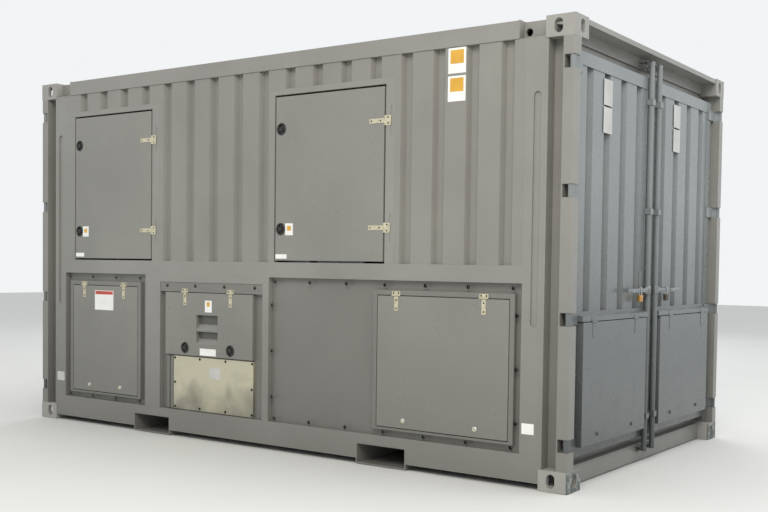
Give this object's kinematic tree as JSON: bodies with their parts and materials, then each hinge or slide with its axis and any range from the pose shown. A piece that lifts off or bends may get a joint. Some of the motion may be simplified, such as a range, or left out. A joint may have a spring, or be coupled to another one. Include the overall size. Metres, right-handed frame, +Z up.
{
  "type": "generator load bank",
  "caption": "Containerised resistive load bank with corner castings, double end doors, front access doors, lift-up hatches, fork pockets, cooling fans and resistor racks.",
  "frame": {"origin": "bottom centre of the container, on the plane under the bottom corner castings", "axes": "+X along the length towards the hot-air end, -Y the front long side with the access doors and hatches, +Z up"},
  "size_m": [4.572, 2.438, 2.591],
  "materials": {
    "grey_paint": "semi-gloss mid grey paint on steel",
    "cast_steel": "painted cast steel, worn at the edges",
    "yellow_zinc": "yellow zinc-plated steel",
    "black_lock": "black moulded lock body",
    "bare_aluminium": "bare brushed aluminium",
    "resistor_alloy": "nickel-chrome strip",
    "galvanised": "galvanised sheet",
    "motor_grey": "painted motor frame",
    "fan_aluminium": "cast aluminium",
    "cabinet_grey": "light grey powder coat",
    "dark_floor": "dark floor paint"
  },
  "bodies": {
    "container": {"corner_castings_bottom": "cast_steel", "corner_castings_top": "cast_steel", "corner_posts": "grey_paint", "top_side_rails": "grey_paint", "bottom_side_rails": "grey_paint", "fork_pockets": "grey_paint", "cross_members": "grey_paint", "floor_plate": "dark_floor", "end_sills": "grey_paint", "end_headers": "grey_paint", "roof_panel": "grey_paint", "rear_wall": "grey_paint", "front_panels": "grey_paint", "access_frames": "grey_paint", "front_band": "grey_paint", "recess_plates": "grey_paint", "connection_plate": "bare_aluminium", "fixed_hinge_leaves": "yellow_zinc", "rod_keepers": "grey_paint", "bulkheads": "galvanised", "fan_motors": "motor_grey", "fan_guards": "galvanised", "resistor_racks": "galvanised", "resistor_elements": "resistor_alloy", "control_cabinet": "cabinet_grey"},
    "access_door_left": {"access_door_left": "grey_paint", "access_straps_left": "yellow_zinc"},
    "access_lock_left_lower": {"access_lock_left_lower": "black_lock"},
    "access_lock_left_upper": {"access_lock_left_upper": "black_lock"},
    "access_door_right": {"access_door_right": "grey_paint", "access_straps_right": "yellow_zinc"},
    "access_lock_right_lower": {"access_lock_right_lower": "black_lock"},
    "access_lock_right_upper": {"access_lock_right_upper": "black_lock"},
    "hatch_left": {"hatch_left": "grey_paint", "hatch_left_fittings": "yellow_zinc"},
    "hatch_right": {"hatch_right": "grey_paint", "hatch_right_fittings": "yellow_zinc"},
    "hatch_centre": {"hatch_centre": "grey_paint", "hatch_centre_fittings": "yellow_zinc"},
    "flap_lock_left": {"flap_lock_left": "black_lock"},
    "flap_lock_right": {"flap_lock_right": "black_lock"},
    "end_door_east_north": {"end_door_east_north": "grey_paint", "end_fittings_east_north": "grey_paint"},
    "end_hatch_east_north": {"end_hatch_east_north": "grey_paint"},
    "lock_rod_east_north": {"lock_rod_east_north": "grey_paint"},
    "end_door_east_south": {"end_door_east_south": "grey_paint", "end_fittings_east_south": "grey_paint"},
    "end_hatch_east_south": {"end_hatch_east_south": "grey_paint"},
    "lock_rod_east_south": {"lock_rod_east_south": "grey_paint"},
    "end_door_west_north": {"end_door_west_north": "grey_paint", "end_fittings_west_north": "grey_paint"},
    "end_hatch_west_north": {"end_hatch_west_north": "grey_paint"},
    "lock_rod_west_north": {"lock_rod_west_north": "grey_paint"},
    "end_door_west_south": {"end_door_west_south": "grey_paint", "end_fittings_west_south": "grey_paint"},
    "end_hatch_west_south": {"end_hatch_west_south": "grey_paint"},
    "lock_rod_west_south": {"lock_rod_west_south": "grey_paint"},
    "fan_wheel_south": {"fan_wheel_south": "fan_aluminium"},
    "fan_wheel_north": {"fan_wheel_north": "fan_aluminium"}
  },
  "joints": [
    {"name": "access_door_left_swing", "type": "hinge", "parent": "container", "child": "access_door_left", "pos_m": [-1.034, -1.214, 1.25], "axis": [0, 0, 1], "range_deg": [0, 120]},
    {"name": "access_lock_left_lower_turn", "type": "hinge", "parent": "access_door_left", "child": "access_lock_left_lower", "pos_m": [-1.836, -1.214, 1.453], "axis": [0, 1, 0], "range_deg": [0, 90]},
    {"name": "access_lock_left_upper_turn", "type": "hinge", "parent": "access_door_left", "child": "access_lock_left_upper", "pos_m": [-1.836, -1.214, 2.098], "axis": [0, 1, 0], "range_deg": [0, 90]},
    {"name": "access_door_right_swing", "type": "hinge", "parent": "container", "child": "access_door_right", "pos_m": [1.031, -1.214, 1.25], "axis": [0, 0, 1], "range_deg": [0, 120]},
    {"name": "access_lock_right_lower_turn", "type": "hinge", "parent": "access_door_right", "child": "access_lock_right_lower", "pos_m": [0.199, -1.214, 1.453], "axis": [0, 1, 0], "range_deg": [0, 90]},
    {"name": "access_lock_right_upper_turn", "type": "hinge", "parent": "access_door_right", "child": "access_lock_right_upper", "pos_m": [0.199, -1.214, 2.098], "axis": [0, 1, 0], "range_deg": [0, 90]},
    {"name": "hatch_left_lift", "type": "hinge", "parent": "container", "child": "hatch_left", "pos_m": [0, -1.214, 1.0475], "axis": [-1, 0, 0], "range_deg": [0, 90]},
    {"name": "hatch_right_lift", "type": "hinge", "parent": "container", "child": "hatch_right", "pos_m": [0, -1.214, 1.0475], "axis": [-1, 0, 0], "range_deg": [0, 90]},
    {"name": "hatch_centre_lift", "type": "hinge", "parent": "container", "child": "hatch_centre", "pos_m": [0, -1.214, 1.0205], "axis": [-1, 0, 0], "range_deg": [0, 90]},
    {"name": "flap_lock_left_turn", "type": "hinge", "parent": "hatch_centre", "child": "flap_lock_left", "pos_m": [-0.689, -1.21, 0.632], "axis": [0, 1, 0], "range_deg": [0, 90]},
    {"name": "flap_lock_right_turn", "type": "hinge", "parent": "hatch_centre", "child": "flap_lock_right", "pos_m": [-0.25, -1.21, 0.632], "axis": [0, 1, 0], "range_deg": [0, 90]},
    {"name": "end_door_east_north_swing", "type": "hinge", "parent": "container", "child": "end_door_east_north", "pos_m": [2.266, 1.199, 1.3], "axis": [0, 0, 1], "range_deg": [0, 180]},
    {"name": "end_hatch_east_north_lift", "type": "hinge", "parent": "end_door_east_north", "child": "end_hatch_east_north", "pos_m": [2.278, 0.57, 0.9275], "axis": [0, -1, 0], "range_deg": [0, 90]},
    {"name": "lock_rod_east_north_turn", "type": "hinge", "parent": "end_door_east_north", "child": "lock_rod_east_north", "pos_m": [2.253, 0.065, 1.3], "axis": [0, 0, -1], "range_deg": [0, 100]},
    {"name": "end_door_east_south_swing", "type": "hinge", "parent": "container", "child": "end_door_east_south", "pos_m": [2.266, -1.199, 1.3], "axis": [0, 0, -1], "range_deg": [0, 180]},
    {"name": "end_hatch_east_south_lift", "type": "hinge", "parent": "end_door_east_south", "child": "end_hatch_east_south", "pos_m": [2.278, -0.57, 0.9275], "axis": [0, -1, 0], "range_deg": [0, 90]},
    {"name": "lock_rod_east_south_turn", "type": "hinge", "parent": "end_door_east_south", "child": "lock_rod_east_south", "pos_m": [2.253, -0.065, 1.3], "axis": [0, 0, 1], "range_deg": [0, 100]},
    {"name": "end_door_west_north_swing", "type": "hinge", "parent": "container", "child": "end_door_west_north", "pos_m": [-2.266, 1.199, 1.3], "axis": [0, 0, -1], "range_deg": [0, 180]},
    {"name": "end_hatch_west_north_lift", "type": "hinge", "parent": "end_door_west_north", "child": "end_hatch_west_north", "pos_m": [-2.278, 0.57, 0.9275], "axis": [0, 1, 0], "range_deg": [0, 90]},
    {"name": "lock_rod_west_north_turn", "type": "hinge", "parent": "end_door_west_north", "child": "lock_rod_west_north", "pos_m": [-2.253, 0.065, 1.3], "axis": [0, 0, 1], "range_deg": [0, 100]},
    {"name": "end_door_west_south_swing", "type": "hinge", "parent": "container", "child": "end_door_west_south", "pos_m": [-2.266, -1.199, 1.3], "axis": [0, 0, 1], "range_deg": [0, 180]},
    {"name": "end_hatch_west_south_lift", "type": "hinge", "parent": "end_door_west_south", "child": "end_hatch_west_south", "pos_m": [-2.278, -0.57, 0.9275], "axis": [0, 1, 0], "range_deg": [0, 90]},
    {"name": "lock_rod_west_south_turn", "type": "hinge", "parent": "end_door_west_south", "child": "lock_rod_west_south", "pos_m": [-2.253, -0.065, 1.3], "axis": [0, 0, -1], "range_deg": [0, 100]},
    {"name": "fan_south_spin", "type": "hinge", "parent": "container", "child": "fan_wheel_south", "pos_m": [-1.396, -0.55, 1.81], "axis": [1, 0, 0], "continuous": true},
    {"name": "fan_north_spin", "type": "hinge", "parent": "container", "child": "fan_wheel_north", "pos_m": [-1.396, 0.55, 1.81], "axis": [1, 0, 0], "continuous": true}
  ]
}
